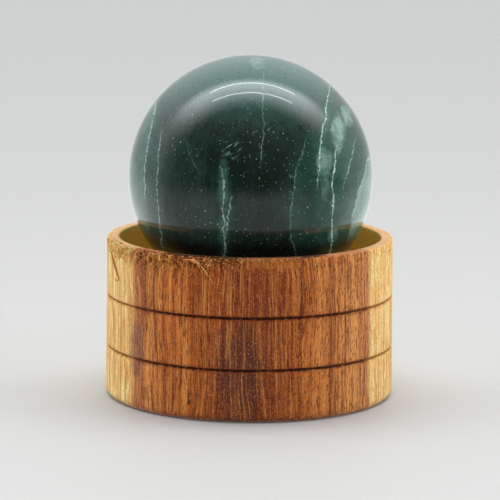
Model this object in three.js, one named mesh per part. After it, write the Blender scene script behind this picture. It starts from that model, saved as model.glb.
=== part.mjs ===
// A polished stone sphere resting in a turned wooden stand.
// Millimetres, +Z up, origin at the centre of the stand's underside.
import * as THREE from 'three';

// The ball and where it rests
const BALL_RADIUS = 30;
const BALL_CENTRE_HEIGHT = 53.7;
const SEAT_CLEARANCE = 0.3;

// The stand's outside: a short drum, a little wider at its foot than at its rim
const STAND_HEIGHT = 39.3;
const RIM_OUTER_RADIUS = 35.2;
const FOOT_OUTER_RADIUS = 35.6;
const FOOT_ROUNDING = 1.8;
const RIM_EASING = 0.5;

// Two V-grooves cut round the drum, which split it into three bands
const GROOVE_HEIGHTS = [12.6, 25.1];
const GROOVE_WIDTH = 1.0;
const GROOVE_DEPTH = 0.6;

// The stand's inside: a tapered wall, a level floor and a dish that the ball sits in
const RIM_INNER_RADIUS = 32.2;
const RIM_INNER_EASING = 0.4;
const WALL_TAPER = THREE.MathUtils.degToRad(8);
const FLOOR_HEIGHT = 27;
const FLOOR_FILLET = 5;

// How finely the round stretches are divided
const TURNED_SIDES = 72;
const BALL_SIDES = 64;
const BALL_RINGS = 32;
const ARC_STEP = THREE.MathUtils.degToRad(15);
const SEAT_STEPS = 8;

const QUARTER_TURN = Math.PI / 2;

// Points along a circular arc in the (radius, height) plane, both ends included.
function arc(centreRadius, centreHeight, arcRadius, from, to, steps = Math.ceil(Math.abs(to - from) / ARC_STEP)) {
  return Array.from({ length: steps + 1 }, (_, i) => {
    const angle = from + ((to - from) * i) / steps;
    return new THREE.Vector2(
      centreRadius + arcRadius * Math.cos(angle),
      centreHeight + arcRadius * Math.sin(angle),
    );
  });
}

// The drum's outer radius at a height.
function outerRadius(height) {
  return THREE.MathUtils.lerp(FOOT_OUTER_RADIUS, RIM_OUTER_RADIUS, height / STAND_HEIGHT);
}

// One V-groove: its lower lip, its bottom and its upper lip.
function grooveProfile(height) {
  const half = GROOVE_WIDTH / 2;
  return [
    new THREE.Vector2(outerRadius(height - half), height - half),
    new THREE.Vector2(outerRadius(height) - GROOVE_DEPTH, height),
    new THREE.Vector2(outerRadius(height + half), height + half),
  ];
}

// From the underside's centre, round the foot and up the outside to the rim.
function outsideProfile() {
  const foot = arc(FOOT_OUTER_RADIUS - FOOT_ROUNDING, FOOT_ROUNDING, FOOT_ROUNDING, -QUARTER_TURN, 0);
  const rim = arc(RIM_OUTER_RADIUS - RIM_EASING, STAND_HEIGHT - RIM_EASING, RIM_EASING, 0, QUARTER_TURN, 3);
  return [new THREE.Vector2(0, 0), ...foot, ...GROOVE_HEIGHTS.flatMap(grooveProfile), ...rim];
}

// From the rim, down the tapered wall and its fillet, over the floor and down the dish to the axis.
function insideProfile() {
  const easing = arc(
    RIM_INNER_RADIUS + RIM_INNER_EASING,
    STAND_HEIGHT - RIM_INNER_EASING,
    RIM_INNER_EASING,
    QUARTER_TURN,
    Math.PI - WALL_TAPER,
    3,
  );

  // The fillet touches the floor and the wall, so its centre is one fillet radius from each.
  const filletHeight = FLOOR_HEIGHT + FLOOR_FILLET;
  const wallTop = easing.at(-1);
  const wallRadius = wallTop.x - (wallTop.y - filletHeight) * Math.tan(WALL_TAPER);
  const filletRadius = wallRadius - FLOOR_FILLET / Math.cos(WALL_TAPER);
  const fillet = arc(filletRadius, filletHeight, FLOOR_FILLET, -WALL_TAPER, -QUARTER_TURN);

  // The dish is part of a sphere that shares the ball's centre.
  const dishRadius = BALL_RADIUS + SEAT_CLEARANCE;
  const dishEdge = -Math.asin((BALL_CENTRE_HEIGHT - FLOOR_HEIGHT) / dishRadius);
  const dish = arc(0, BALL_CENTRE_HEIGHT, dishRadius, dishEdge, -QUARTER_TURN, SEAT_STEPS);
  dish.at(-1).x = 0;

  return [...easing, ...fillet, ...dish];
}

// A solid of revolution whose axis stands along +Z.
function turned(profile) {
  return new THREE.LatheGeometry(profile, TURNED_SIDES).rotateX(QUARTER_TURN);
}

function makeStand() {
  const wood = new THREE.MeshStandardMaterial({ color: 0xb8783f, roughness: 0.62, metalness: 0 });
  const stand = new THREE.Mesh(turned([...outsideProfile(), ...insideProfile()]), wood);
  stand.name = 'wooden_stand';
  return stand;
}

function makeBall() {
  const stone = new THREE.MeshStandardMaterial({ color: 0x1f3229, roughness: 0.08, metalness: 0 });
  const shape = new THREE.SphereGeometry(BALL_RADIUS, BALL_SIDES, BALL_RINGS).rotateX(QUARTER_TURN);
  const ball = new THREE.Mesh(shape, stone);
  ball.name = 'stone_sphere';
  ball.position.z = BALL_CENTRE_HEIGHT;
  return ball;
}

const sphereOnStand = new THREE.Group();
sphereOnStand.add(makeStand(), makeBall());

export default sphereOnStand;
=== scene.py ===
# %% [markdown]
# # A polished stone ball resting in a turned wooden stand
# The ornament has two parts. A ball of dark green stone, cut through by pale upright veins, lies loose
# in a short wooden cup. The cup was turned on a lathe with its grain upright and left bare, so its rim
# still carries torn fibres. The measured model gives the true sizes. This lesson adds what the eye
# looks for: the depth of the stone, the figure of the wood and the marks of the work.

# %% Load the measured model
import math

import bpy
import numpy as np
from mathutils import Matrix, Vector


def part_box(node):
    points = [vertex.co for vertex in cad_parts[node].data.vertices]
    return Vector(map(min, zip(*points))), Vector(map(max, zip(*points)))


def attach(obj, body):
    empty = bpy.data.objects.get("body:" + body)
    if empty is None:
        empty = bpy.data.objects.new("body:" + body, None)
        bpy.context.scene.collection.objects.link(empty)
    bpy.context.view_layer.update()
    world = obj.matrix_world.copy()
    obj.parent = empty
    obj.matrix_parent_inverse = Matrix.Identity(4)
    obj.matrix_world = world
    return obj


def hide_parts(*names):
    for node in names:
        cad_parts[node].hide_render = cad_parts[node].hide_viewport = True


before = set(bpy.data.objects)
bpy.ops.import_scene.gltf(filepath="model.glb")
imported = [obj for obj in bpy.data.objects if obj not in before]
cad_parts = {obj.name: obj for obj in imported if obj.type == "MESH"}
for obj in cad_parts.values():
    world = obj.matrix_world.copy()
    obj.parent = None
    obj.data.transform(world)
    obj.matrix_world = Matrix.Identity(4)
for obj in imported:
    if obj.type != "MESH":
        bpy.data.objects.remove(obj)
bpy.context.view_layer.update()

MM = 0.001

# %% [markdown]
# ## The sizes that everything else follows
# The ball and the stand are read from the measured model. The grooves and the thickness of the rim
# can't be read from a box, so they are written here once more, in millimetres.

# %% Sizes of the ball and the stand
ball_low, ball_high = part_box("stone_sphere")
_, stand_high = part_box("wooden_stand")
BALL_CENTRE = (ball_low + ball_high) / 2
BALL_RADIUS = (ball_high.z - ball_low.z) / 2 / MM
BALL_HEIGHT = BALL_CENTRE.z / MM
RIM_HEIGHT = stand_high.z / MM
FOOT_RADIUS = stand_high.x / MM
NARROWING = 0.4
RIM_THICKNESS = 3.0
RIM_RADIUS = FOOT_RADIUS - NARROWING
RIM_BORE_RADIUS = RIM_RADIUS - RIM_THICKNESS
GROOVE_HEIGHTS = (12.6, 25.1)
GROOVE_WIDTH = 1.0
GROOVE_DEPTH = 0.6
print(f"ball {2 * BALL_RADIUS:.1f} mm across, its centre {BALL_HEIGHT:.1f} mm up")
print(f"stand {2 * FOOT_RADIUS:.1f} mm across and {RIM_HEIGHT:.1f} mm high")

# %% [markdown]
# ## A pen for node trees
# Geometry trees and shader trees share most of their nodes: maths, vectors, noise and mixing. One small
# helper class can therefore draw in both. Each of its methods adds a node, plugs in its inputs, which
# may be plain values or other nodes' outputs, and hands back the output socket. Beside it stand a few
# helpers for what every piece needs: a node group, a colour, a material, an object and a tree's end.

# %% The pen


class Pen:
    """Draws nodes into one tree; most methods return the output socket that they made."""

    def __init__(self, tree):
        self.tree = tree
        self.count = 0

    def node(self, kind, plugs=None, **settings):
        made = self.tree.nodes.new(kind)
        made.location = (190 * (self.count % 14), -260 * (self.count // 14))
        self.count += 1
        for name, value in settings.items():
            setattr(made, name, value)
        for name, value in (plugs or {}).items():
            self.plug(made.inputs[name], value)
        return made

    def plug(self, socket, value):
        if isinstance(value, bpy.types.NodeSocket):
            self.tree.links.new(value, socket)
        else:
            socket.default_value = value

    def maths(self, operation, a, b=0.0):
        return self.node("ShaderNodeMath", {0: a, 1: b}, operation=operation).outputs[0]

    def plus(self, a, b):
        return self.maths("ADD", a, b)

    def minus(self, a, b):
        return self.maths("SUBTRACT", a, b)

    def times(self, a, b):
        return self.maths("MULTIPLY", a, b)

    def vector(self, operation, a, b=(0, 0, 0)):
        made = self.node("ShaderNodeVectorMath", {0: a, 1: b}, operation=operation)
        return made.outputs["Value" if operation in ("LENGTH", "DOT_PRODUCT") else "Vector"]

    def stretch(self, place, shares):
        """A place times a share in each direction: a pattern read there is drawn out where it is small."""
        return self.vector("MULTIPLY", place, shares)

    def enlarge(self, vector, size):
        made = self.node("ShaderNodeVectorMath", {0: vector, "Scale": size}, operation="SCALE")
        return made.outputs[0]

    def split(self, vector):
        return self.node("ShaderNodeSeparateXYZ", {0: vector}).outputs

    def join(self, x, y, z):
        return self.node("ShaderNodeCombineXYZ", {0: x, 1: y, 2: z}).outputs[0]

    def noise(self, vector, scale=1.0, detail=2.0, rough=0.5):
        plugs = {"Vector": vector, "Scale": scale, "Detail": detail, "Roughness": rough}
        return self.node("ShaderNodeTexNoise", plugs).outputs[0]

    def streaks(self, place, shares, detail, rough):
        """Noise drawn out in the directions whose share is small."""
        return self.noise(self.stretch(place, shares), 1.0, detail, rough)

    def cells(self, vector, scale=1.0):
        return self.node("ShaderNodeTexVoronoi", {"Vector": vector, "Scale": scale}).outputs

    def fade(self, value, low, high, start=0.0, end=1.0):
        """A smooth step from start to end as the value goes from low to high."""
        plugs = {"Value": value, "From Min": low, "From Max": high, "To Min": start, "To Max": end}
        return self.node("ShaderNodeMapRange", plugs, interpolation_type="SMOOTHSTEP").outputs[0]

    def mix(self, factor, a, b):
        return self.node("ShaderNodeMix", {0: factor, 6: a, 7: b}, data_type="RGBA").outputs[2]

    def ramp(self, factor, stops):
        made = self.node("ShaderNodeValToRGB", {0: factor})
        elements = made.color_ramp.elements
        while len(elements) < len(stops):
            elements.new(1.0)
        for element, (place, colour) in zip(elements, stops):
            element.position = place
            element.color = colour
        return made.outputs[0]

    def use(self, group, **plugs):
        kind = "ShaderNodeGroup" if group.bl_idname == "ShaderNodeTree" else "GeometryNodeGroup"
        made = self.node(kind, node_tree=group)
        for name, value in plugs.items():
            self.plug(made.inputs[name.replace("_", " ")], value)
        return made.outputs


def new_group(name, kind, inputs, outputs):
    """An empty node group: a pen for it, its input sockets by name and its output node."""
    tree = bpy.data.node_groups.new(name, kind)
    for label, (socket_type, default) in inputs.items():
        socket = tree.interface.new_socket(label, in_out="INPUT", socket_type=socket_type)
        if default is not None:
            socket.default_value = default
    for label, socket_type in outputs.items():
        tree.interface.new_socket(label, in_out="OUTPUT", socket_type=socket_type)
    pen = Pen(tree)
    return pen, pen.node("NodeGroupInput").outputs, pen.node("NodeGroupOutput").inputs


FLOAT, COLOUR, PLACE = "NodeSocketFloat", "NodeSocketColor", "NodeSocketVector"
GEOMETRY, MATERIAL = "NodeSocketGeometry", "NodeSocketMaterial"


def colour(red, green, blue):
    """A colour given as it looks on a screen, 0 to 255, in the linear values that nodes use."""
    screen = np.array([red, green, blue]) / 255
    linear = np.where(screen <= 0.04045, screen / 12.92, ((screen + 0.055) / 1.055) ** 2.4)
    return (*(float(part) for part in linear), 1.0)


def new_material(name):
    """A material, a pen for its tree and its Principled shader."""
    material = bpy.data.materials.new(name)
    material.use_nodes = True
    return material, Pen(material.node_tree), material.node_tree.nodes["Principled BSDF"]


def add_object(name, data):
    """An object that shows a mesh, a camera or a light in the scene."""
    made = bpy.data.objects.new(name, data)
    bpy.context.scene.collection.objects.link(made)
    return made


def end_tree(pen, shape, material, socket):
    """Every geometry tree ends alike: instances made real, the material set, the shape sent out."""
    real = pen.node("GeometryNodeRealizeInstances", {0: shape})
    clad = pen.node("GeometryNodeSetMaterial", {"Geometry": real.outputs[0], "Material": material})
    pen.plug(socket, clad.outputs[0])
    return pen.tree


# %% [markdown]
# ## Running a geometry tree once
# A tree works on an object through a modifier. Its inputs are set by their identifiers, before the object
# is first evaluated. The result is then kept as a plain mesh and the modifier is taken off.

# %% Helper: run a tree and keep its mesh


def run_tree(name, tree, mesh=None, **values):
    """A new object whose mesh is what the tree makes from the given mesh."""
    maker = add_object(name, mesh or bpy.data.meshes.new(name))
    modifier = maker.modifiers.new(name, "NODES")
    modifier.node_group = tree
    for item in tree.interface.items_tree:
        label = item.name.replace(" ", "_")
        if item.item_type == "SOCKET" and item.in_out == "INPUT" and label in values:
            modifier[item.identifier] = values[label]
    graph = bpy.context.evaluated_depsgraph_get()
    made = bpy.data.meshes.new_from_object(maker.evaluated_get(graph))
    maker.modifiers.remove(modifier)
    maker.data = made
    made.name = name
    made.polygons.foreach_set("use_smooth", np.ones(len(made.polygons), bool))
    print(f"{name}: {len(made.vertices)} points, {len(made.polygons)} faces")
    return maker


# %% [markdown]
# ## The camera
# The camera stands well back with a long lens, a little above the ball's middle, and looks slightly
# below the ball's centre, so that the stand fills the lower half of the view. It leans by half a degree.
# A short lens from nearby would show more of the cup but make the ball look too big for its stand.

# %% Camera
CAMERA_DISTANCE = 0.620
CAMERA_RISE = math.radians(7.925)
CAMERA_AIM_BELOW = 0.0289
CAMERA_ROLL = math.radians(0.506)
CAMERA_LENS = 181.4

camera_data = bpy.data.cameras.new("camera")
camera_data.lens = CAMERA_LENS
camera_data.clip_end = 20.0
camera = add_object("camera", camera_data)
bpy.context.scene.camera = camera
offset = Vector((0, -math.cos(CAMERA_RISE), math.sin(CAMERA_RISE))) * CAMERA_DISTANCE
turn = Matrix.Rotation(math.pi / 2 - CAMERA_RISE - CAMERA_AIM_BELOW, 4, "X")
camera.matrix_world = Matrix.Translation(BALL_CENTRE + offset) @ turn @ Matrix.Rotation(CAMERA_ROLL, 4, "Z")
print("camera height:", round(camera.matrix_world.translation.z, 3), "m")

# %% [markdown]
# ## The ball
# The real ball was ground between cups and polished. An icosphere fits it better than a globe of
# latitudes, because its triangles are all alike and it has no poles to pinch the reflections. The tree
# takes the radius and the centre as named inputs.

# %% The ball's mesh


def ball_tree():
    inputs = {"Radius": (FLOAT, 0.01), "Centre": (PLACE, (0, 0, 0)), "Stone": (MATERIAL, None)}
    pen, given, result = new_group("ground ball", "GeometryNodeTree", inputs, {"Ball": GEOMETRY})
    ball = pen.node("GeometryNodeMeshIcoSphere", {"Radius": given["Radius"], "Subdivisions": 7})
    placed = pen.node("GeometryNodeSetPosition", {"Geometry": ball.outputs[0], "Offset": given["Centre"]})
    return end_tree(pen, placed.outputs[0], given["Stone"], result["Ball"])


# %% [markdown]
# ## A vein in the stone
# A vein is a crack that healed with a paler mineral, so it is a thin sheet standing in the stone, and
# the eye sees the line where the sheet meets the polished surface. The group measures how far a point is
# from a plane that leans, wanders and trembles. Near the plane it draws a line that swells, thins out and
# breaks. It also tells which side of the sheet the point lies on, because the stone often changes colour
# across a vein.

# %% Shader group: vein sheet
GLOW_FALL = 1.1


def vein_group():
    inputs = {
        "Place": (PLACE, (0, 0, 0)),
        "Offset": (FLOAT, 0.0),
        "Lean": (FLOAT, 0.0),
        "Bow": (FLOAT, 0.0),
        "Bottom": (FLOAT, -30.0),
        "Top": (FLOAT, 30.0),
        "Width": (FLOAT, 0.3),
        "Wander": (FLOAT, 2.0),
        "Seed": (FLOAT, 0.0),
    }
    outputs = {"Line": FLOAT, "Glow": FLOAT, "Side": FLOAT}
    pen, given, result = new_group("vein sheet", "ShaderNodeTree", inputs, outputs)
    x, _, z = pen.split(given["Place"])
    upright = pen.stretch(given["Place"], (0.4, 0.4, 1.0))
    seeded = pen.vector("ADD", upright, pen.join(given["Seed"], given["Seed"], given["Seed"]))

    # The sheet sways in long waves, wanders in shorter ones and trembles in the shortest.
    def sway(frequency, share):
        wave = pen.noise(seeded, frequency, 3.0, 0.55)
        return pen.times(pen.times(pen.minus(wave, 0.5), given["Wander"]), share)

    wander = pen.plus(pen.plus(sway(0.1, 1.0), sway(0.5, 0.55)), sway(1.7, 0.30))
    bow = pen.times(pen.times(z, z), pen.times(given["Bow"], 0.01))
    wander = pen.plus(wander, bow)
    plane = pen.plus(pen.plus(given["Offset"], pen.times(z, given["Lean"])), wander)
    apart = pen.minus(x, plane)
    distance = pen.maths("ABSOLUTE", apart)

    # The line swells and thins, and beads break it up; a glow spreads from it, and both end with the vein.
    swell = pen.noise(seeded, 0.8, 4.0, 0.75)
    width = pen.times(given["Width"], pen.fade(swell, 0.28, 0.72, 0.2, 1.9))
    line = pen.minus(1.0, pen.fade(pen.maths("DIVIDE", distance, width), 0.2, 1.0))
    beads = pen.noise(seeded, 1.6, 3.0, 0.7)
    line = pen.times(line, pen.fade(beads, 0.36, 0.6, 0.25, 1.0))
    rise = pen.fade(pen.minus(z, given["Bottom"]), 0.0, 5.0)
    fall = pen.fade(pen.minus(given["Top"], z), 0.0, 5.0)
    reach = pen.times(rise, fall)
    glow = pen.maths("POWER", math.e, pen.times(distance, -GLOW_FALL))
    cloudy = pen.noise(seeded, 0.6, 4.0, 0.6)
    glow = pen.times(glow, pen.fade(cloudy, 0.35, 0.65))
    pen.plug(result["Line"], pen.times(line, reach))
    pen.plug(result["Glow"], pen.times(glow, reach))
    pen.plug(result["Side"], pen.fade(apart, -0.3, 0.3))
    return pen.tree


vein_sheet = vein_group()
print("vein sheet:", len(vein_sheet.nodes), "nodes")

# %% [markdown]
# ## Soft patches
# Clouds in the stone and stains in the wood are both soft, uneven patches with a place and a size. One
# group makes them all: an egg-shaped mask whose edge is broken by noise.

# %% Shader group: soft patch


def patch_group():
    inputs = {
        "Place": (PLACE, (0, 0, 0)),
        "Centre": (PLACE, (0, 0, 0)),
        "Reach": (PLACE, (1, 1, 1)),
        "Ragged": (FLOAT, 0.6),
        "Grain": (FLOAT, 0.4),
    }
    pen, given, result = new_group("soft patch", "ShaderNodeTree", inputs, {"Mask": FLOAT})
    apart = pen.vector("DIVIDE", pen.vector("SUBTRACT", given["Place"], given["Centre"]), given["Reach"])
    cloud = pen.noise(given["Place"], given["Grain"], 3.0, 0.55)
    push = pen.times(pen.minus(cloud, 0.5), given["Ragged"])
    radius = pen.plus(pen.vector("LENGTH", apart), pen.times(push, 2.0))
    pen.plug(result["Mask"], pen.fade(radius, 0.45, 1.1, 1.0, 0.0))
    return pen.tree


soft_patch = patch_group()
print("soft patch:", len(soft_patch.nodes), "nodes")


def patch(pen, place, centre, reach, ragged, grain=0.4):
    """The mask of one soft patch, placed in a material."""
    return pen.use(soft_patch, Place=place, Centre=centre, Reach=reach, Ragged=ragged, Grain=grain)["Mask"]


# %% [markdown]
# ## Places in millimetres
# Patterns read Object coordinates, so that they are fixed in the piece. Working in millimetres from a
# chosen centre keeps every number below a real size.

# %% Helper: a place in millimetres


def place_in_mm(pen, centre=(0, 0, 0)):
    raw = pen.node("ShaderNodeTexCoord").outputs["Object"]
    return pen.stretch(pen.vector("SUBTRACT", raw, centre), (1 / MM, 1 / MM, 1 / MM))


# %% [markdown]
# ## Polished green stone
# The body is a dark grey green, nearly black in its heart and more teal at the sides and top. Eleven vein
# sheets cross it, and the slabs between some of them have their own tint. Small white grains and short
# upright dashes are scattered through it. The colours could be painted on a map, but a pattern that is
# worked out from each point's place in the solid has no seam, and goes on round the back as real stone
# does. The polish is a low roughness, a little duller on the veins and grains.

# %% The veins, from left to right
# offset, lean, bow, bottom, top, width, wander, strength
VEINS = {
    "far left": (-25.3, -0.02, 0.8, -6.0, 24.0, 0.17, 1.6, 0.5),
    "left": (-22.2, 0.0, 0.5, -25.0, 15.0, 0.16, 1.8, 0.5),
    "diagonal": (-9.6, -0.50, 0.0, 1.5, 14.0, 0.11, 3.2, 0.22),
    "middle thread": (-6.3, -0.08, -0.5, -24.0, 8.0, 0.22, 2.6, 0.75),
    "middle twin": (-5.2, 0.03, 0.0, -14.0, 1.5, 0.20, 2.8, 0.6),
    "upper": (2.1, 0.03, 0.0, 5.0, 31.0, 0.13, 2.0, 0.3),
    "dark edge": (9.8, 0.12, 1.2, -25.0, 15.0, 0.14, 2.0, 0.3),
    "bright": (15.5, 0.0, 0.7, 0.0, 26.0, 0.20, 2.2, 0.9),
    "right": (19.8, 0.06, 0.1, -24.0, 12.0, 0.24, 2.4, 0.95),
    "far right": (21.9, 0.30, 0.0, -1.0, 13.0, 0.18, 2.2, 0.5),
    "last": (26.7, 0.27, 0.0, -10.0, 12.0, 0.20, 2.0, 0.6),
}
print(len(VEINS), "vein sheets")

# %% The clouds: centre, reach and strength
CLOUDS = (
    ((20.9, -16.8, 13.2), (2.1, 9.0, 5.0), 0.8),
    ((23.4, -9.5, 16.8), (1.8, 7.0, 3.0), 0.7),
    ((17.4, -23.4, 7.2), (2.4, 8.0, 3.9), 0.7),
    ((17.6, -24.3, 1.0), (1.1, 7.0, 3.6), 0.3),
    ((20.0, -20.0, -11.0), (1.5, 7.0, 2.6), 0.45),
    ((1.2, -6.0, 29.0), (2.0, 7.0, 3.0), 0.35),
)
print(len(CLOUDS), "clouds")

# %% The stone's body


def stone_body(pen, place):
    """The body's colour: a dark heart, greener at the top and sides, with faint upright streaks, and
    painted shade low down.
    """
    drift = pen.streaks(place, (0.09, 0.09, 0.05), 5.0, 0.6)
    streaks = pen.streaks(place, (0.9, 0.9, 0.14), 4.0, 0.65)
    body = pen.mix(pen.fade(drift, 0.38, 0.62), colour(24, 37, 31), colour(36, 53, 47))
    x, _, z = pen.split(place)
    body = pen.mix(pen.fade(x, -8.0, -20.0, 0.0, 0.5), body, colour(40, 58, 55))
    body = pen.mix(pen.fade(z, 14.0, 28.0, 0.0, 0.95), body, colour(52, 94, 86))
    body = pen.mix(pen.fade(streaks, 0.45, 0.75, 0.0, 0.4), body, colour(44, 74, 64))
    body = pen.mix(pen.fade(streaks, 0.5, 0.3, 0.0, 0.5), body, colour(17, 30, 25))
    heart = patch(pen, place, (1.0, -26.0, 7.5), (12.0, 20.0, 10.0), 0.5)
    body = pen.mix(pen.times(heart, 0.65), body, colour(18, 28, 22))
    # Below the middle the body is painted nearly black: painted shade and a painted dark reflection of the
    # shaded inside of the cup.
    return pen.mix(pen.fade(z, -10.5, -14.5, 0.0, 0.85), body, colour(6, 10, 8))


# %% The slabs between the veins


def stone_slabs(pen, place, body, sides):
    """The slabs' tints: teal on the left, deep green and then paler green on the right."""
    _, y, z = pen.split(place)
    # The tints fade out low on the ball, under the painted shade there.
    upper = pen.fade(z, -15.0, -10.0, 0.1, 1.0)
    front = pen.times(upper, pen.fade(y, -6.0, 10.0, 1.0, 0.35))
    milk = pen.fade(pen.noise(place, 0.2, 6.0, 0.62), 0.38, 0.66)

    def tint(body, side, amount, dull, clear):
        return pen.mix(pen.times(side, amount), body, pen.mix(milk, dull, clear))

    left_side = pen.minus(1.0, sides["left"])
    far_side = pen.minus(1.0, sides["far left"])
    body = tint(body, left_side, pen.times(upper, 0.8), colour(28, 58, 54), colour(44, 74, 70))
    body = tint(body, far_side, pen.times(front, 0.85), colour(44, 82, 72), colour(76, 108, 98))
    body = tint(body, sides["dark edge"], upper, colour(27, 56, 45), colour(42, 68, 60))
    body = tint(body, sides["bright"], upper, colour(22, 64, 52), colour(46, 80, 70))
    return tint(body, sides["last"], front, colour(84, 124, 110), colour(122, 154, 140))


# %% The grains: stretch, scale, size and strength of each set
GRAIN_SETS = (
    ((1, 1, 1), 0.66, 0.15, 0.9),
    ((1, 1, 1), 1.4, 0.24, 0.7),
    ((1, 1, 0.28), 0.95, 0.17, 0.55),
)
print(len(GRAIN_SETS), "sets of grains")


def stone_grains(pen, place):
    """White grains and short upright dashes of many sizes, crowded in some parts and thin in others."""
    crowd = pen.fade(pen.noise(place, 0.09, 2.0, 0.5), 0.35, 0.65, 0.6, 1.0)
    grains = 0.0
    for stretch, scale, size, strength in GRAIN_SETS:
        speck = pen.cells(pen.stretch(place, stretch), scale)
        chance = pen.split(speck["Color"])[0]
        reach = pen.times(crowd, pen.fade(chance, 0.3, 1.0, 0.3, 1.0))
        shown = pen.fade(pen.maths("DIVIDE", speck["Distance"], reach), size * 0.4, size, strength, 0.0)
        grains = pen.maths("MAXIMUM", grains, shown)
    return grains


# %% The stone's material
SEED_STEP = 13.7
GLOW_SHARE = 0.6
THREAD_LEAN = math.radians(-52)
STONE_IOR = 1.6
POLISH_WAVES = 0.02


def stone_material():
    material, pen, shader = new_material("polished_green_stone")
    place = place_in_mm(pen, BALL_CENTRE)

    # The sheets bend more and more towards the back.
    x, y, z = pen.split(place)
    folds = pen.streaks(place, (0.045, 0.045, 0.03), 1.0, 0.5)
    folds = pen.times(pen.minus(folds, 0.5), pen.fade(y, -9.0, 24.0, 0.0, 60.0))
    folded = pen.join(pen.minus(x, folds), y, z)

    # Lines and glows are gathered as each sheet is made; only the sides are kept apart.
    lines, glows, sides = 0.0, 0.0, {}
    for seed, (name, (offset, lean, bow, bottom, top, width, wander, strength)) in enumerate(VEINS.items()):
        vein = pen.use(
            vein_sheet, Place=folded, Offset=offset, Lean=lean, Bow=bow, Bottom=bottom, Top=top,
            Width=width, Wander=wander, Seed=seed * SEED_STEP,
        )
        lines = pen.maths("MAXIMUM", lines, pen.times(vein["Line"], strength))
        glows = pen.maths("MAXIMUM", glows, pen.times(vein["Glow"], GLOW_SHARE * strength))
        sides[name] = vein["Side"]
    body = stone_slabs(pen, place, stone_body(pen, place), sides)

    wisps = pen.noise(place, 0.5, 2.0, 0.5)
    for centre, reach, strength in CLOUDS:
        cloud = patch(pen, place, centre, reach, 1.0, 0.2)
        shown = pen.times(cloud, pen.fade(wisps, 0.36, 0.6, 0.45 * strength, strength))
        body = pen.mix(shown, body, colour(134, 166, 156))

    # A green haze along the middle thread, rust beside the right vein, and crossed threads in the heart.
    haze = patch(pen, place, (-6.3, -28.0, -3.0), (1.5, 8.0, 15.0), 0.6)
    haze = pen.times(haze, pen.fade(wisps, 0.36, 0.62, 0.15, 0.6))
    body = pen.mix(haze, body, colour(66, 108, 98))
    rust = patch(pen, place, (18.6, -22.0, -3.5), (0.8, 9.0, 4.5), 0.7)
    body = pen.mix(pen.times(rust, 0.5), body, colour(44, 44, 34))
    slant = {"Vector": place, "Rotation": (0, THREAD_LEAN, 0)}
    slanted = pen.node("ShaderNodeMapping", slant).outputs[0]
    threads = pen.streaks(slanted, (2.6, 0.5, 0.4), 3.0, 0.6)
    crossed = patch(pen, place, (-4.4, -28.0, 10.4), (3.0, 8.0, 2.4), 0.8)
    crossed = pen.times(crossed, pen.fade(threads, 0.53, 0.64, 0.0, 0.7))
    body = pen.mix(crossed, body, colour(120, 156, 146))

    body = pen.mix(glows, body, colour(74, 122, 108))
    body = pen.mix(lines, body, colour(186, 212, 198))
    # Low on the ball the grains are dimmed as part of the same painted shade.
    grains = pen.times(stone_grains(pen, place), pen.fade(z, -14.0, -9.0, 0.4, 1.0))
    body = pen.mix(pen.times(grains, 0.8), body, colour(186, 208, 198))
    pen.plug(shader.inputs["Base Color"], body)

    soft = pen.maths("MAXIMUM", lines, grains)
    pen.plug(shader.inputs["Roughness"], pen.fade(soft, 0.0, 1.0, 0.05, 0.2))
    shader.inputs["IOR"].default_value = STONE_IOR
    waves = pen.noise(place, 0.35, 2.0, 0.5)
    bump = pen.node("ShaderNodeBump", {"Height": waves, "Distance": POLISH_WAVES * MM, "Strength": 0.3})
    pen.plug(shader.inputs["Normal"], bump.outputs[0])
    return material


stone = stone_material()
print("stone nodes:", len(stone.node_tree.nodes))

# %% The finished ball
ball = run_tree(
    "polished_stone_ball", ball_tree(), Radius=BALL_RADIUS * MM, Centre=BALL_CENTRE, Stone=stone,
)
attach(ball, "root")
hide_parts("stone_sphere")

# %% [markdown]
# ## The turned stand
# A lathe turns an outline about an axis, and so does the helper here. The outline runs from the centre
# of the underside, up the outside, over the rim and down into the cup. A Screw modifier could turn it
# too, but it would space its sides evenly, and here they lie close only where the surface will be
# worked further: round the front, at the grooves and under the rim.

# %% The stand's outline
FOOT_ROUNDING = 1.8
RIM_EASING = 0.5
BORE_EASING = 0.4
WALL_TAPER = math.radians(8)
FLOOR_HEIGHT = 27.0
FLOOR_FILLET = 5.0
DISH_CLEARANCE = 0.3
DISH_RADIUS = BALL_RADIUS + DISH_CLEARANCE
GROOVE_STEP, RIM_STEP, PLAIN_STEP = 0.11, 0.3, 0.5


def arc(centre_radius, centre_height, radius, start, end, step=0.35):
    count = max(3, math.ceil(abs(end - start) * radius / step))
    angles = np.linspace(start, end, count + 1)
    return [(centre_radius + radius * math.cos(a), centre_height + radius * math.sin(a)) for a in angles]


def straight(start, end, count):
    """Evenly spaced points between two others, without those two."""
    return [tuple(point) for point in np.linspace(start, end, count)[1:-1]]


def outer_radius(height):
    return FOOT_RADIUS - NARROWING * height / RIM_HEIGHT


def groove_cut(height):
    """How deep the nearer groove cuts at a height: a narrow V with a softened bottom."""
    nearest = min(abs(height - groove) for groove in GROOVE_HEIGHTS)
    share = max(0.0, 1 - nearest / (GROOVE_WIDTH / 2))
    return GROOVE_DEPTH * share


def wall_heights():
    """Heights up the outside: close together at the grooves and under the rim."""
    height, top = FOOT_ROUNDING, RIM_HEIGHT - RIM_EASING
    while height < top:
        yield height
        nearest = min(abs(height - groove) for groove in GROOVE_HEIGHTS)
        height += GROOVE_STEP if nearest < 0.75 else RIM_STEP if top - height < 5 else PLAIN_STEP


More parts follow.
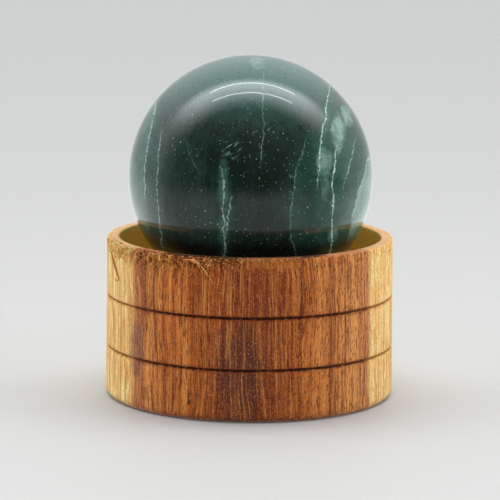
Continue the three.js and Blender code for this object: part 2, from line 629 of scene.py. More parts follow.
def stand_outline():
    quarter = math.pi / 2
    foot = arc(FOOT_RADIUS - FOOT_ROUNDING, FOOT_ROUNDING, FOOT_ROUNDING, -quarter, 0)
    wall = [(outer_radius(h) - groove_cut(h), h) for h in wall_heights()]
    rim = arc(RIM_RADIUS - RIM_EASING, RIM_HEIGHT - RIM_EASING, RIM_EASING, 0, quarter, 0.2)
    bore_centre = (RIM_BORE_RADIUS + BORE_EASING, RIM_HEIGHT - BORE_EASING)
    bore = arc(*bore_centre, BORE_EASING, quarter, math.pi - WALL_TAPER, 0.2)
    fillet_height = FLOOR_HEIGHT + FLOOR_FILLET
    wall_foot = bore[-1][0] - (bore[-1][1] - fillet_height) * math.tan(WALL_TAPER)
    fillet_radius = wall_foot - FLOOR_FILLET / math.cos(WALL_TAPER)
    fillet = arc(fillet_radius, fillet_height, FLOOR_FILLET, -WALL_TAPER, -quarter, 1.0)
    dish_edge = -math.asin((BALL_HEIGHT - FLOOR_HEIGHT) / DISH_RADIUS)
    dish = arc(0, BALL_HEIGHT, DISH_RADIUS, dish_edge, -quarter, 1.5)
    underside = [(r, 0.0) for r in np.arange(0, FOOT_RADIUS - FOOT_ROUNDING, 3.0)]
    flat = straight(rim[-1], bore[0], 8)
    inner = straight(bore[-1], fillet[0], 12)
    level = straight(fillet[-1], dish[0], 8)
    return underside + foot + wall[1:] + rim + flat + bore + inner + fillet + level + dish


outline = stand_outline()
print(len(outline), "outline points")

# %% The angles round the stand
# The worked front gets twice as many sides as the plain back. Angles run from the front, anticlockwise.
FRONT_SIDES = 370
BACK_SIDES = 170
front_angles = np.linspace(-math.pi, 0, FRONT_SIDES, endpoint=False)
back_angles = np.linspace(0, math.pi, BACK_SIDES, endpoint=False)
stand_angles = np.concatenate([front_angles, back_angles])
print(2 * len(stand_angles) * len(outline), "triangles")

# %% Helper: turn an outline on the lathe


def turned_mesh(name, outline, angles):
    """A closed mesh: the outline starts and ends on the axis, and each point between makes a ring."""
    rings = np.array(outline[1:-1])
    sides = len(angles)
    x = rings[:, :1] * np.cos(angles)
    y = rings[:, :1] * np.sin(angles)
    z = np.repeat(rings[:, 1:], sides, axis=1)
    points = np.stack([x, y, z], axis=2).reshape(-1, 3)
    ends = np.array([(0, 0, outline[0][1]), (0, 0, outline[-1][1])])
    this, after = np.arange(sides), (np.arange(sides) + 1) % sides
    faces = [(len(points), b, a) for a, b in zip(this, after)]
    for ring in range(len(rings) - 1):
        low, high = ring * sides, (ring + 1) * sides
        faces += [(low + a, low + b, high + b, high + a) for a, b in zip(this, after)]
    last = (len(rings) - 1) * sides
    faces += [(last + a, last + b, len(points) + 1) for a, b in zip(this, after)]
    mesh = bpy.data.meshes.new(name)
    mesh.from_pydata(np.vstack([points, ends]) * MM, [], [tuple(map(int, face)) for face in faces])
    return mesh


stand_blank = turned_mesh("stand_blank", outline, stand_angles)

# %% [markdown]
# ## Working the surface
# Bare turned wood is never smooth. The fibres stand upright, so the tool leaves fine upright furrows; at
# the top outer edge it tore them out, mostly on the front left; under the rim at the front a thin flake
# came away; and the lips of the grooves are nicked. Bump in the material would leave the outline smooth,
# so a tree moves the points themselves. Nearly all of it takes wood away, and where a tuft lifts, it
# stays within the stand's true size.

# %% Geometry tree: the worked surface


def worked_surface_tree():
    inputs = {
        "Blank": (GEOMETRY, None),
        "Furrow Depth": (FLOAT, 0.05),
        "Tear Depth": (FLOAT, 0.5),
        "Tuft Height": (FLOAT, 0.2),
        "Flake Depth": (FLOAT, 0.2),
        "Nick Depth": (FLOAT, 0.15),
        "Wood": (MATERIAL, None),
    }
    pen, given, result = new_group("worked surface", "GeometryNodeTree", inputs, {"Stand": GEOMETRY})
    raw = pen.node("GeometryNodeInputPosition").outputs[0]
    place = pen.stretch(raw, (1 / MM, 1 / MM, 1 / MM))
    x, y, z = pen.split(place)
    flat = pen.join(x, y, 0.0)
    radius = pen.vector("LENGTH", flat)
    outward = pen.vector("NORMALIZE", flat)
    outside = pen.fade(radius, RIM_BORE_RADIUS + 0.9, RIM_RADIUS - 0.8)
    below_rim = pen.minus(RIM_HEIGHT, z)

    # Furrows run all the way up the outside.
    furrows = pen.streaks(place, (1.3, 1.3, 0.10), 3.0, 0.6)
    furrow = pen.times(pen.fade(furrows, 0.4, 0.75), given["Furrow Depth"])

    # The torn edge is worst towards the front left: deep bites, with finer tears inside them.
    worst = pen.vector("DOT_PRODUCT", outward, (-0.68, -0.73, 0.0))
    torn_side = pen.fade(worst, 0.68, 0.88, 0.26, 1.0)
    bites = pen.streaks(place, (0.55, 0.55, 0.2), 3.0, 0.65)
    tears = pen.streaks(place, (1.3, 1.3, 0.34), 3.0, 0.65)
    ending = pen.plus(0.8, pen.times(bites, 6.0))
    near_rim = pen.fade(pen.minus(ending, below_rim), 0.0, 2.2)
    torn = pen.times(pen.fade(tears, 0.40, 0.62), pen.times(near_rim, torn_side))
    tear = pen.times(torn, given["Tear Depth"])

    # The flake's lower edge is ragged.
    ragged = pen.streaks(place, (0.45, 0.45, 0.1), 3.0, 0.7)
    flake_edge = pen.plus(0.4, pen.times(ragged, 4.6))
    flake = pen.fade(pen.minus(flake_edge, below_rim), 0.0, 0.35)
    across = pen.times(pen.fade(x, -3.0, -1.0), pen.fade(x, 11.5, 13.0, 1.0, 0.0))
    across = pen.times(across, pen.fade(y, -10.0, 0.0, 1.0, 0.0))
    flaked = pen.times(flake, across)
    flake = pen.times(flaked, given["Flake Depth"])

    # Nicks in the lower lip of each groove.
    chips = pen.streaks(place, (0.9, 0.9, 0.5), 3.0, 0.7)
    nick = 0.0
    for groove in GROOVE_HEIGHTS:
        from_lip = pen.maths("ABSOLUTE", pen.minus(z, groove - GROOVE_WIDTH * 0.6))
        nick = pen.plus(nick, pen.fade(from_lip, 0.1, 0.6, 1.0, 0.0))
    nick = pen.times(pen.times(nick, pen.fade(chips, 0.5, 0.7)), given["Nick Depth"])

    # Between the tears, tufts lift off the wood a little.
    lifted = pen.times(pen.fade(tears, 0.42, 0.34), pen.times(near_rim, torn_side))
    tuft = pen.times(lifted, given["Tuft Height"])

    cut = pen.plus(pen.plus(furrow, tear), pen.plus(flake, nick))
    cut = pen.minus(cut, tuft)
    cut = pen.times(pen.times(cut, outside), -MM)
    inward = pen.enlarge(outward, cut)

    # The torn rim is also a little lower than the sound rim.
    sink = pen.times(pen.times(tear, outside), -0.5 * MM)
    top_only = pen.fade(below_rim, 0.0, 1.2, 1.0, 0.0)
    drop = pen.join(0.0, 0.0, pen.times(sink, top_only))

    # The material reads how torn and how lifted each point is, so both are stored before it moves.
    marked = given["Blank"]
    for label, value in (("torn", torn), ("lifted", lifted), ("flaked", flaked)):
        plugs = {"Geometry": marked, "Name": label, "Value": pen.times(value, outside)}
        marked = pen.node("GeometryNodeStoreNamedAttribute", plugs, domain="POINT").outputs[0]
    shift = pen.vector("ADD", inward, drop)
    moved = pen.node("GeometryNodeSetPosition", {"Geometry": marked, "Offset": shift})
    return end_tree(pen, moved.outputs[0], given["Wood"], result["Stand"])


# %% [markdown]
# ## The figure of the wood
# Wood grows in rings about the heart of the trunk. This stand was cut well away from the heart, which
# lies in front of it, so the front shows orange-brown heartwood and the back is pale sapwood, with a
# border up each side. The group measures how far a point is from the heart and turns that into rings,
# streaks, pores and the border. The stand and its torn fibres both use it, so that a fibre has the colour
# of the wood it was torn from.

# %% Shader group: wood figure
HEART_PLACE = (1.6, -60.0)
SAPWOOD_FROM = 48.0
PALEST_FROM = 23.0


def wood_group():
    inputs = {"Place": (PLACE, (0, 0, 0)), "Bleach": (FLOAT, 0.0)}
    outputs = {"Colour": COLOUR, "Sapwood": FLOAT, "Pores": FLOAT, "Streaks": FLOAT}
    pen, given, result = new_group("wood figure", "ShaderNodeTree", inputs, outputs)

    # The grain isn't quite upright: it leans this way and that.
    x, y, z = pen.split(given["Place"])
    lean = pen.streaks(given["Place"], (0.07, 0.07, 0.045), 2.0, 0.5)
    x = pen.plus(x, pen.times(pen.minus(lean, 0.5), 4.4))
    place = pen.join(x, y, z)
    across = pen.join(pen.minus(x, HEART_PLACE[0]), pen.minus(y, HEART_PLACE[1]), 0.0)
    depth = pen.vector("LENGTH", across)

    # Rings: slow swings of colour from one year to the next, and finer lines inside them.
    years = pen.noise(pen.join(depth, 0.0, 0.0), 0.6, 3.0, 0.6)
    fine = pen.streaks(place, (2.1, 2.1, 0.045), 4.0, 0.65)
    broad = pen.streaks(place, (0.42, 0.42, 0.015), 3.0, 0.6)
    share = pen.maths("DIVIDE", pen.minus(depth, PALEST_FROM), SAPWOOD_FROM - PALEST_FROM)
    heart = pen.ramp(share, (
        (0.00, colour(128, 56, 28)),
        (0.16, colour(158, 73, 30)),
        (0.30, colour(190, 99, 38)),
        (0.55, colour(203, 113, 50)),
        (0.76, colour(217, 141, 72)),
        (0.86, colour(210, 131, 74)),
        (0.98, colour(190, 112, 70)),
    ))
    heart = pen.mix(pen.fade(years, 0.4, 0.7, 0.0, 0.4), heart, colour(138, 62, 28))
    # Towards the right the heartwood is painted paler: painted light, as if the right side were lit more
    # strongly.
    heart = pen.mix(pen.fade(x, 8.0, 27.0, 0.0, 0.45), heart, colour(236, 166, 94))
    heart = pen.mix(pen.fade(broad, 0.52, 0.66, 0.0, 0.6), heart, colour(124, 50, 34))
    heart = pen.mix(pen.fade(broad, 0.47, 0.36, 0.0, 0.45), heart, colour(232, 158, 80))
    heart = pen.mix(pen.fade(fine, 0.5, 0.66, 0.0, 0.75), heart, colour(104, 40, 18))
    heart = pen.mix(pen.fade(fine, 0.5, 0.34, 0.0, 0.5), heart, colour(236, 162, 84))

    # Next to the border the rings run close together and turn purple.
    purple = pen.times(pen.fade(depth, 42.5, 46.0), pen.fade(fine, 0.42, 0.58, 0.15, 0.6))
    heart = pen.mix(purple, heart, colour(142, 72, 58))

    sap = pen.mix(pen.fade(fine, 0.38, 0.6), colour(255, 238, 166), colour(236, 178, 98))
    coarse = pen.streaks(place, (0.95, 0.95, 0.03), 3.0, 0.6)
    sap = pen.mix(pen.fade(coarse, 0.48, 0.60, 0.0, 0.75), sap, colour(204, 138, 68))
    ragged = pen.plus(depth, pen.fade(fine, 0.3, 0.7, -0.9, 0.9))
    border = pen.fade(ragged, SAPWOOD_FROM - 1.0, SAPWOOD_FROM + 0.9)
    wood = pen.mix(border, heart, sap)

    # Pores: long, thin hollows along the grain, dark inside.
    small = pen.cells(pen.stretch(place, (1.5, 1.5, 0.26)))["Distance"]
    large = pen.cells(pen.stretch(place, (0.85, 0.85, 0.13)))["Distance"]
    small, large = pen.fade(small, 0.14, 0.28, 0.85, 0.0), pen.fade(large, 0.12, 0.22, 1.0, 0.0)
    pores = pen.maths("MAXIMUM", small, large)

    # On the right the fine hatches lean over.
    leaning = pen.times(z, pen.fade(x, 9.0, 13.0, 0.0, 0.24))
    slanted = pen.join(pen.minus(x, leaning), y, z)
    hatches = pen.cells(pen.stretch(slanted, (2.6, 2.6, 0.36)))["Distance"]
    hatched = pen.times(pen.fade(hatches, 0.2, 0.36, 1.0, 0.0), pen.fade(x, 9.0, 13.0, 0.65, 1.0))
    pores = pen.maths("MAXIMUM", pores, hatched)
    pore_colour = pen.mix(border, colour(84, 30, 12), colour(184, 128, 62))
    wood = pen.mix(pen.times(pores, pen.fade(border, 0.0, 1.0, 0.75, 0.5)), wood, pore_colour)
    wood = pen.mix(given["Bleach"], wood, colour(250, 192, 108))
    pen.plug(result["Colour"], wood)
    pen.plug(result["Sapwood"], border)
    pen.plug(result["Pores"], pores)
    pen.plug(result["Streaks"], fine)
    return pen.tree


wood_figure = wood_group()
print("wood figure:", len(wood_figure.nodes), "nodes")

# %% [markdown]
# ## Bare turned wood
# On top of the figure come the marks of this one piece: end grain on the flat of the rim, painted nearly
# black along the front as painted shade under the ball, grooves that the tool burnt and painted shade
# deepens, a few dark lines up the whole height of the front, a clean golden cup whose gold is partly
# painted bounce light and whose front inside is painted shade, and dull stains by the left border and
# low at the front. The fuzz of cut fibre ends catches the light as pale crumbs, painted highlights beside
# dark crumbs of painted shade. Each mark is a mask by place, mixed over the figure one after
# another, so any of them can be changed without touching the rest.

# %% Dark lines on the front: place across it, half width and strength
DARK_LINES = (
    (-22.6, 0.40, 0.55), (-16.4, 0.20, 0.45), (-11.4, 0.30, 0.55), (-10.1, 0.16, 0.6), (-4.6, 0.25, 0.45),
    (-1.6, 0.25, 0.4), (1.4, 0.35, 0.5), (5.9, 0.2, 0.45), (7.8, 0.25, 0.5), (10.1, 0.25, 0.5),
    (11.8, 0.4, 0.65), (19.3, 0.3, 0.65), (21.2, 0.25, 0.55), (23.0, 0.3, 0.5),
)
print(len(DARK_LINES), "dark lines")


def dark_lines(pen, place, figure, wood):
    x, y, _ = pen.split(place)

    # The dark lines waver, and fade out towards the back.
    waver = pen.streaks(place, (0.1, 0.1, 0.05), 3.0, 0.6)
    wavering = pen.plus(x, pen.fade(waver, 0.2, 0.8, -0.8, 0.8))
    lines = 0.0
    for middle, width, strength in DARK_LINES:
        apart = pen.maths("ABSOLUTE", pen.minus(wavering, middle))
        lines = pen.maths("MAXIMUM", lines, pen.fade(apart, 0.1, width + 0.1, strength, 0.0))
    lines = pen.times(lines, pen.fade(y, -12.0, -4.0, 1.0, 0.0))
    lines = pen.times(lines, pen.fade(figure["Streaks"], 0.36, 0.6, 0.45, 1.0))
    return pen.mix(lines, wood, colour(92, 36, 24))


# %% End grain, and the inside of the cup


def rim_and_cup(pen, place, figure, wood):
    x, y, z = pen.split(place)

    # End grain on flat faces; along the front it is painted nearly black, as painted shade where the ball
    # keeps the light off the rim.
    facing = pen.split(pen.node("ShaderNodeTexCoord").outputs["Normal"])[2]
    end_grain = pen.fade(pen.maths("ABSOLUTE", facing), 0.75, 0.95)
    sawn = pen.mix(figure["Sapwood"], colour(206, 140, 98), colour(232, 180, 134))
    middle = pen.times(pen.fade(x, -23.0, -17.0), pen.fade(x, 14.0, 20.0, 1.0, 0.0))
    middle = pen.times(middle, pen.fade(y, -20.0, -12.0, 1.0, 0.0))
    sawn = pen.mix(pen.times(middle, 0.9), sawn, colour(64, 30, 18))
    dots = pen.fade(pen.noise(place, 2.6, 3.0, 0.6), 0.45, 0.7, 0.0, 0.5)
    sawn = pen.mix(dots, sawn, colour(150, 88, 50))
    wood = pen.mix(pen.times(end_grain, 0.75), wood, sawn)

    # Inside the cup the wood has stayed clean and golden, its gold partly painted light that stands for
    # warm light bounced round the cup. Its front inside and the front of the rim's top are painted dark:
    # painted shade under the ball.
    from_axis = pen.vector("LENGTH", pen.join(x, y, 0.0))
    inside = pen.times(pen.fade(from_axis, 32.6, 32.0), pen.fade(z, 20.0, 26.0))
    wood = pen.mix(inside, wood, colour(255, 206, 84))
    shaded = pen.times(inside, pen.fade(y, -22.0, -10.0, 0.9, 0.0))
    top = pen.times(pen.fade(from_axis, 34.9, 34.4), pen.fade(z, 38.2, 38.8))
    shaded = pen.maths("MAXIMUM", shaded, pen.times(top, middle))
    return pen.mix(shaded, wood, colour(46, 24, 14))


# %% Stains, and the marks of the torn surface


def stains(pen, place, figure, wood):
    # Dull stains by the left border and low at the front, and one small pit painted dark as painted shade,
    # with no hollow modelled.
    stain = patch(pen, place, (-27.0, -23.0, 15.0), (2.6, 4.0, 8.0), 0.7)
    wood = pen.mix(pen.times(stain, 0.5), wood, colour(110, 78, 76))
    dull = patch(pen, place, (-2.5, -35.0, 12.0), (7.5, 9.0, 15.0), 0.8)
    dull = pen.times(dull, pen.fade(figure["Streaks"], 0.36, 0.6, 0.25, 0.8))
    wood = pen.mix(dull, wood, colour(72, 42, 42))
    pit = patch(pen, place, (-14.1, -32.5, 4.5), (0.5, 2.0, 0.85), 0.5, 2.0)
    wood = pen.mix(pen.times(pit, 0.85), wood, colour(44, 20, 12))

    # Torn hollows are painted dark as painted shade, lifted tufts are golden, and the peeled flake left
    # fresh wood.
    def mark(label):
        return pen.node("ShaderNodeAttribute", attribute_name=label).outputs["Fac"]

    wood = pen.mix(pen.times(mark("flaked"), 0.4), wood, colour(212, 128, 60))
    wood = pen.mix(pen.fade(mark("lifted"), 0.1, 0.8, 0.0, 0.65), wood, colour(244, 180, 98))
    return pen.mix(pen.fade(mark("torn"), 0.25, 0.9, 0.0, 0.75), wood, colour(98, 40, 18))


# %% The burnt and shaded grooves, and the shaded foot


def grooves_and_foot(pen, place, figure, wood):
    _, y, z = pen.split(place)

    # The grooves are nearly black in front, browner towards the sides, with fuzzy, uneven lips: partly wood
    # the tool burnt, partly painted shade in the V of each cut.
    uneven = pen.noise(place, 0.9, 4.0, 0.75)
    burnt = pen.mix(pen.fade(y, -32.0, -18.0), colour(44, 18, 10), colour(112, 58, 22))
    burnt = pen.mix(figure["Sapwood"], burnt, colour(158, 104, 40))
    singed = pen.mix(figure["Sapwood"], colour(124, 54, 24), colour(214, 150, 74))
    for groove in GROOVE_HEIGHTS:
        apart = pen.maths("ABSOLUTE", pen.minus(z, groove))
        apart = pen.plus(apart, pen.fade(uneven, 0.3, 0.7, -0.2, 0.2))
        wood = pen.mix(pen.fade(apart, 0.3, 1.1, 0.45, 0.0), wood, singed)
        wood = pen.mix(pen.fade(apart, 0.16, 0.40, 0.92, 0.0), wood, burnt)

    # The foot is painted darker towards the floor: painted shade low on the stand.
    painted_foot_shade = pen.fade(z, 0.2, 2.4, 0.35, 0.0)
    return pen.mix(painted_foot_shade, wood, colour(104, 56, 26))


# %% The wood's material
WOOD_SHINE = 0.22
WOOD_RELIEF = 0.11


def wood_material():
    material, pen, shader = new_material("bare_turned_wood")
    place = place_in_mm(pen)
    figure = pen.use(wood_figure, Place=place)
    wood = dark_lines(pen, place, figure, figure["Colour"])
    wood = rim_and_cup(pen, place, figure, wood)
    wood = stains(pen, place, figure, wood)

    # Crumbs of fuzz over everything but the burnt grooves: pale ones are painted highlights on the fibre
    # ends, dark ones painted shade between them.
    fuzz = pen.streaks(place, (4.5, 4.5, 2.2), 3.0, 0.6)
    wood = pen.mix(pen.fade(fuzz, 0.54, 0.70, 0.0, 0.5), wood, colour(246, 168, 84))
    wood = pen.mix(pen.fade(fuzz, 0.46, 0.32, 0.0, 0.55), wood, colour(100, 44, 20))
    wood = grooves_and_foot(pen, place, figure, wood)
    pen.plug(shader.inputs["Base Color"], wood)

    pen.plug(shader.inputs["Roughness"], pen.fade(figure["Streaks"], 0.3, 0.7, 0.5, 0.68))
    shader.inputs["Specular IOR Level"].default_value = WOOD_SHINE

    # The relief: pores and dark streaks lie deep, fuzz stands up.
    height = pen.plus(pen.times(figure["Pores"], -1.0), pen.times(figure["Streaks"], -0.8))
    height = pen.plus(height, pen.times(fuzz, 1.6))
    bump = pen.node("ShaderNodeBump", {"Height": height, "Distance": WOOD_RELIEF * MM, "Strength": 0.8})
    pen.plug(shader.inputs["Normal"], bump.outputs[0])
    return material


wood = wood_material()
print("wood nodes:", len(wood.node_tree.nodes))

# %% The finished stand
stand = run_tree(
    "turned_wooden_stand", worked_surface_tree(), stand_blank, Furrow_Depth=0.07, Tear_Depth=1.1,
    Tuft_Height=0.35, Flake_Depth=0.42, Nick_Depth=0.22, Wood=wood,
)
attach(stand, "root")
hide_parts("wooden_stand")

# %% [markdown]
# ## Torn fibres along the rim
# Where the tool tore the edge, short fibres still hang on. They repeat along a path, so Geometry Nodes
# place them: points along the torn part of the rim, a short curve on each, a little curl that grows
# towards the tip, and a thin three-sided tube round the curve. Hair would be quicker, but it doesn't end
# as a mesh. The fibres' material uses the stand's own figure, so that each has the colour of its root,
# and a number stored on each fibre makes some of them darker.

# %% Geometry tree: rim fibres
BOX_MARGIN = 0.1
ROOT_DEPTH = 0.12


def fibre_tree():
    inputs = {
        "Count": ("NodeSocketInt", 10),
        "Seed": ("NodeSocketInt", 0),
        "Middle Angle": (FLOAT, 0.0),
        "Half Width": (FLOAT, 1.0),
        "Highest": (FLOAT, 0.0),
        "Lowest": (FLOAT, 0.0),
        "Shortest": (FLOAT, 0.5),
        "Longest": (FLOAT, 2.0),
        "Thickness": (FLOAT, 0.06),
        "Curl": (FLOAT, 0.6),
        "Wood": (MATERIAL, None),
    }
    pen, given, result = new_group("rim fibres", "GeometryNodeTree", inputs, {"Fibres": GEOMETRY})

    # A random number for each root; a step of its own gives every property its own draw.
    def chance(low, high, step):
        plugs = {2: low, 3: high, "Seed": pen.plus(given["Seed"], step)}
        return pen.node("FunctionNodeRandomValue", plugs, data_type="FLOAT").outputs[1]

    # Roots: two draws added together crowd them towards the middle of the torn part.
    spread = pen.plus(chance(-0.5, 0.5, 1), chance(-0.5, 0.5, 2))
    angle = pen.plus(given["Middle Angle"], pen.times(spread, given["Half Width"]))
    drop = pen.maths("POWER", chance(0.0, 1.0, 3), 1.7)
    height = pen.minus(given["Highest"], pen.times(drop, pen.minus(given["Highest"], given["Lowest"])))
    radius = pen.minus(RIM_RADIUS - ROOT_DEPTH, pen.fade(height, RIM_HEIGHT - 0.9, RIM_HEIGHT, 0.0, 0.5))
    root = pen.join(
        pen.times(pen.maths("COSINE", angle), radius),
        pen.times(pen.maths("SINE", angle), radius),
        height,
    )
    points = pen.node("GeometryNodePoints", {"Count": given["Count"], "Position": root})

    # One straight fibre of unit length, hanging down, on every root, lying nearly flat on the wood.
    strand = pen.node("GeometryNodeCurvePrimitiveLine", {"Start": (0, 0, 0), "End": (0, 0, -1)})
    strand = pen.node("GeometryNodeResampleCurve", {"Curve": strand.outputs[0], "Count": 8})
    tilt = pen.join(chance(-1.5, 1.5, 4), chance(-0.75, 0.05, 5), angle)
    turned = pen.node("FunctionNodeEulerToRotation", {0: tilt}).outputs[0]
    length = chance(given["Shortest"], given["Longest"], 6)
    placed = pen.node("GeometryNodeInstanceOnPoints", {
        "Points": points.outputs[0], "Instance": strand.outputs[0], "Rotation": turned, "Scale": length,
    })
    shade = pen.maths("POWER", chance(0.0, 1.0, 7), 2.0)
    plugs = {"Geometry": placed.outputs[0], "Name": "shade", "Value": shade}
    shade = pen.node("GeometryNodeStoreNamedAttribute", plugs, domain="INSTANCE")
    curves = pen.node("GeometryNodeRealizeInstances", {0: shade.outputs[0]})

    # Curl, growing towards the tip.
    along = pen.node("GeometryNodeSplineParameter").outputs["Factor"]
    where = pen.node("GeometryNodeInputPosition").outputs[0]
    curl = pen.node("ShaderNodeTexNoise", {"Vector": where, "Scale": 0.55, "Detail": 1.0}).outputs["Color"]
    curl = pen.vector("SUBTRACT", curl, (0.5, 0.5, 0.5))
    growth = pen.times(pen.maths("POWER", along, 1.4), given["Curl"])
    curl = pen.enlarge(curl, growth)
    bent = pen.node("GeometryNodeSetPosition", {"Geometry": curves.outputs[0], "Offset": curl})

    # Nothing reaches past the sides of the stand's box or below its underside.
    reach = FOOT_RADIUS - BOX_MARGIN
    where = pen.node("GeometryNodeInputPosition").outputs[0]
    held = pen.vector("MAXIMUM", pen.vector("MINIMUM", where, (reach, reach, 100.0)), (-reach, -reach, 0.0))
    held = pen.node("GeometryNodeSetPosition", {"Geometry": bent.outputs[0], "Position": held})

    # A three-sided tube, thinner towards the tip.
    taper = pen.times(pen.fade(along, 0.2, 1.0, 1.0, 0.25), given["Thickness"])
    ring = pen.node("GeometryNodeCurvePrimitiveCircle", {"Resolution": 3, "Radius": 1.0})
    tube = pen.node("GeometryNodeCurveToMesh", {
        "Curve": held.outputs[0], "Profile Curve": ring.outputs[0], "Scale": taper, "Fill Caps": True,
    })
    scaled = pen.node("GeometryNodeTransform", {"Geometry": tube.outputs[0], "Scale": (MM, MM, MM)})
    return end_tree(pen, scaled.outputs[0], given["Wood"], result["Fibres"])


# %% The fibres' material


def fibre_material():
    material, pen, shader = new_material("torn_wood_fibre")
    place = place_in_mm(pen)
    patchy = pen.noise(place, 0.9, 2.0, 0.5)
    figure = pen.use(wood_figure, Place=place, Bleach=pen.fade(patchy, 0.35, 0.6, 0.1, 0.8))
    shade = pen.node("ShaderNodeAttribute", attribute_name="shade").outputs["Fac"]
    dark = pen.mix(figure["Sapwood"], colour(92, 40, 18), colour(150, 96, 34))
    pen.plug(shader.inputs["Base Color"], pen.mix(shade, figure["Colour"], dark))
    pen.plug(shader.inputs["Roughness"], pen.fade(figure["Streaks"], 0.3, 0.7, 0.5, 0.75))
    shader.inputs["Specular IOR Level"].default_value = WOOD_SHINE
    return material


torn_fibre = fibre_material()

# %% The finished rim fibres
# The tree runs twice: long curled fibres where the edge is torn, and short crumbs along the whole front.
torn_edge = run_tree(
    "torn_edge_fibres", fibre_tree(), Count=330, Seed=4, Middle_Angle=math.radians(-131),
    Half_Width=math.radians(40), Highest=RIM_HEIGHT - 0.1, Lowest=RIM_HEIGHT - 3.6,
    Shortest=0.6, Longest=2.8, Thickness=0.085, Curl=2.4, Wood=torn_fibre,
)
front_crumbs = run_tree(
    "front_rim_crumbs", fibre_tree(), Count=170, Seed=9, Middle_Angle=math.radians(-92),
    Half_Width=math.radians(75), Highest=RIM_HEIGHT + 0.05, Lowest=RIM_HEIGHT - 0.9,
    Shortest=0.25, Longest=0.9, Thickness=0.085, Curl=1.6, Wood=torn_fibre,
)
for fibres in (torn_edge, front_crumbs):
    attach(fibres, "root")
    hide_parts("wooden_stand")

# %% [markdown]
# ## A few long fibres
# A few fibres are long enough to be seen one by one: a pale root that curls up over the edge and down, a
# short splinter beside it and a dark one hanging by the left border with a hooked end. Each is a tube
# swept along listed points, because nothing about them repeats.

# %% Helper: a fibre along points


def smooth_path(points, steps=7):
    """A Catmull-Rom curve through the points."""
    ends = [2 * points[0] - points[1], *points, 2 * points[-1] - points[-2]]
    path = []
    for a, b, c, d in zip(ends, ends[1:], ends[2:], ends[3:]):
        for t in np.linspace(0, 1, steps, endpoint=False):
            path.append(0.5 * (2 * b + (c - a) * t + (2 * a - 5 * b + 4 * c - d) * t**2
                               + (3 * b - a - 3 * c + d) * t**3))
    return path + [points[-1]]


def fibre_mesh(points, thickness, sides=6):
    """Points and faces of a closed tube that thins towards its last point."""
    path = smooth_path([Vector(point) for point in points])
    side = Vector((0.3, -0.8, 0.5))
    rings = []
    for i, middle in enumerate(path):
        ahead = (path[min(i + 1, len(path) - 1)] - path[max(i - 1, 0)]).normalized()
        side = (side - ahead * side.dot(ahead)).normalized()
        other = ahead.cross(side)
        radius = thickness / 2 * (1.0 - 0.75 * (i / (len(path) - 1)) ** 2)
        turns = [2 * math.pi * k / sides for k in range(sides)]
        rings += [middle + (side * math.cos(t) + other * math.sin(t)) * radius for t in turns]
    faces = [tuple(reversed(range(sides))), tuple(range(len(rings) - sides, len(rings)))]
    for ring in range(len(path) - 1):
        low, high = ring * sides, (ring + 1) * sides
        faces += [(low + k, low + (k + 1) % sides, high + (k + 1) % sides, high + k) for k in range(sides)]
    return rings, faces


# %% The long fibres
# Points are in millimetres in front of the stand, with z up.
LONG_FIBRES = {
    "curled_root": (0.34, (
        (-15.6, -31.6, 38.4), (-14.5, -32.8, 38.6), (-13.2, -33.9, 38.7), (-11.9, -34.6, 38.0),
        (-10.8, -35.0, 36.8), (-9.7, -35.2, 35.3), (-8.4, -34.9, 33.3),
    )),
    "root_branch": (0.24, (
        (-14.2, -32.4, 38.3), (-12.6, -33.7, 38.0), (-11.6, -34.2, 36.8), (-11.0, -34.3, 35.4),
    )),
    "splinter": (0.36, (
        (-10.4, -33.4, 37.6), (-9.7, -34.0, 38.3), (-8.8, -34.2, 39.1),
    )),
    "hanging_hook": (0.42, (
        (-33.6, -10.4, 36.4), (-33.3, -12.3, 35.2), (-32.6, -14.0, 33.4), (-31.9, -15.7, 31.7),
        (-31.7, -16.2, 30.9), (-32.2, -15.4, 30.3), (-32.7, -14.4, 30.7),
    )),
    "left_wisp": (0.24, (
        (-32.4, -13.2, 38.6), (-32.3, -14.4, 38.2), (-31.8, -15.8, 37.2), (-31.9, -15.5, 36.1),
    )),
    "left_curl": (0.24, (
        (-30.2, -17.8, 38.9), (-30.6, -18.3, 38.1), (-29.9, -19.4, 37.3), (-29.0, -20.0, 37.8),
    )),
    "middle_tuft": (0.26, (
        (-21.2, -27.6, 38.9), (-21.4, -28.6, 38.0), (-20.6, -29.2, 36.6), (-21.0, -28.6, 35.2),
    )),
}
DARK_FIBRES = ("hanging_hook", "left_curl")
fibre_points, fibre_faces, fibre_shades = [], [], []
for name, (thickness, points) in LONG_FIBRES.items():
    rings, faces = fibre_mesh(points, thickness)
    start = len(fibre_points)
    fibre_shades += [0.85 if name in DARK_FIBRES else 0.0] * len(rings)
    fibre_points += [point * MM for point in rings]
    fibre_faces += [tuple(start + corner for corner in face) for face in faces]
long_mesh = bpy.data.meshes.new("long_fibres")
long_mesh.from_pydata(fibre_points, [], fibre_faces)
long_mesh.polygons.foreach_set("use_smooth", np.ones(len(fibre_faces), bool))
long_mesh.materials.append(torn_fibre)
long_mesh.attributes.new("shade", "FLOAT", "POINT").data.foreach_set("value", fibre_shades)
long_fibres = add_object("long_fibres", long_mesh)
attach(long_fibres, "root")
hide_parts("wooden_stand")
print("long fibres:", len(LONG_FIBRES), "with", len(fibre_faces), "faces")

# %% [markdown]
# ## The studio
# The piece stands in a small light tent: pale floor, pale walls on three sides, a broad soft light
# overhead and an open front for the camera. A polished ball mirrors all of it, so its dark heart is the
# open front, its pale rim is the walls, and the arch near its top is the overhead light. The tent is
# drawn in the world's shader instead of being built, because only its mirror image is ever seen.

# %% Floor
# Mirrors don't see this floor: the tent below gives them one that grows darker towards the open front.
FLOOR_RADIUS = 4.0
FLOOR_SIDES = 96
FLOOR_GREY = (0.47, 0.465, 0.455, 1)


def floor_material():
    material, _, shader = new_material("pale_floor")
    shader.inputs["Base Color"].default_value = FLOOR_GREY
    shader.inputs["Roughness"].default_value = 0.6
    shader.inputs["Specular IOR Level"].default_value = 0.2
    return material


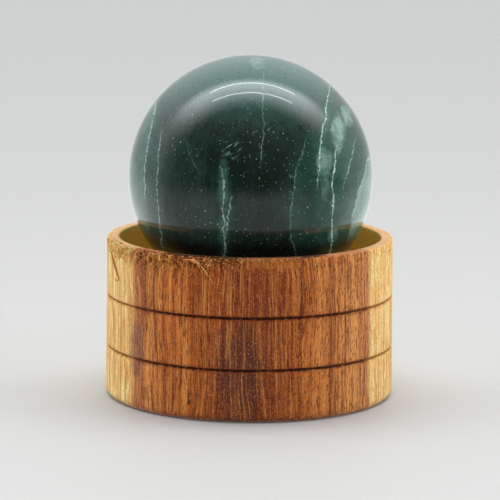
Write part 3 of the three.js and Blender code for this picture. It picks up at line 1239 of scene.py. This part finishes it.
floor_angles = np.arange(FLOOR_SIDES) * 2 * math.pi / FLOOR_SIDES
floor_points = [(FLOOR_RADIUS * math.cos(a), FLOOR_RADIUS * math.sin(a), 0.0) for a in floor_angles]
floor_mesh = bpy.data.meshes.new("floor")
floor_mesh.from_pydata(floor_points, [], [tuple(range(FLOOR_SIDES))])
floor_mesh.materials.append(floor_material())
floor = add_object("floor", floor_mesh)
floor.visible_glossy = False
print("floor:", 2 * FLOOR_RADIUS, "m across")

# %% The tent
# The tent's brightness depends only on the direction one looks in: y runs from the open front to the
# back wall and z from the floor to the top. Below the horizon it stands in for the floor in the mirror
# of the ball. The camera itself sees one even pale grey.
TENT_TINT = (0.96, 0.99, 1.0, 1)
SEEN_BRIGHTNESS = 0.76


def light_tent():
    world = bpy.data.worlds.new("light_tent")
    world.use_nodes = True
    pen = Pen(world.node_tree)
    background = world.node_tree.nodes["Background"]
    _, y, z = pen.split(pen.node("ShaderNodeTexCoord").outputs["Generated"])
    walls = pen.fade(z, 0.1, 0.8, 0.72, 1.4)
    overhead = pen.times(pen.fade(y, 0.24, 0.44, 1.0, 0.0), pen.fade(z, 0.45, 0.9, 0.0, 4.0))
    inside = pen.fade(y, -0.3, 0.3, 0.03, 1.0)
    above = pen.times(pen.plus(walls, overhead), inside)
    below = pen.fade(y, -0.3, 0.6, 0.44, 1.35)
    strength = pen.node("ShaderNodeMix", {0: pen.fade(z, 0.02, -0.3), 2: above, 3: below}).outputs[0]
    seen = pen.node("ShaderNodeLightPath").outputs["Is Camera Ray"]
    level = pen.node("ShaderNodeMix", {0: seen, 2: strength, 3: SEEN_BRIGHTNESS}).outputs[0]
    background.inputs["Color"].default_value = TENT_TINT
    pen.plug(background.inputs["Strength"], level)
    return world


bpy.context.scene.world = light_tent()
print("tent nodes:", len(bpy.context.scene.world.node_tree.nodes))

# %% Helper: a lamp with a flat face


def flat_lamp(name, place, width, depth, watts):
    """A rectangle that shines downwards until it is turned, hidden from the camera."""
    light = bpy.data.lights.new(name, "AREA")
    light.shape = "RECTANGLE"
    light.size = width
    light.size_y = depth
    light.energy = watts
    lamp = add_object(name, light)
    lamp.location = place
    lamp.visible_camera = False
    print(f"{name}: {watts:.3f} W")
    return lamp


# %% Two rows of lamps in the overhead light
# Each row is a thin bright strip over the piece, which the polish mirrors as a fine arc.
ROW_HEIGHT = 0.34
ROW_SHIFT = 0.004
ROW_LENGTH = 0.30
ROW_WIDTH = 0.005
ROW_BRIGHTNESS = 9.0
row_watts = ROW_BRIGHTNESS * math.pi * ROW_LENGTH * ROW_WIDTH
flat_lamp("front_row", (ROW_SHIFT, -0.003, ROW_HEIGHT), ROW_LENGTH, ROW_WIDTH, row_watts)
flat_lamp("back_row", (ROW_SHIFT, 0.062, ROW_HEIGHT), ROW_LENGTH, ROW_WIDTH, row_watts)

# %% Soft fill lights
# The fills light the front and the sides of the piece but aren't mirrored in the ball.
AIM = Vector((0, 0, 0.03))


def soft_fill(name, place, size, watts):
    lamp = flat_lamp(name, place, size, size, watts)
    lamp.rotation_euler = (AIM - Vector(place)).to_track_quat("-Z", "Y").to_euler()
    lamp.visible_glossy = False


soft_fill("front_fill", (0, -0.9, 0.75), 0.6, 3.2)
soft_fill("left_fill", (-0.6, -0.22, 0.25), 0.4, 1.3)
soft_fill("right_fill", (0.6, -0.22, 0.25), 0.4, 1.75)
bpy.context.scene.view_settings.view_transform = "Standard"
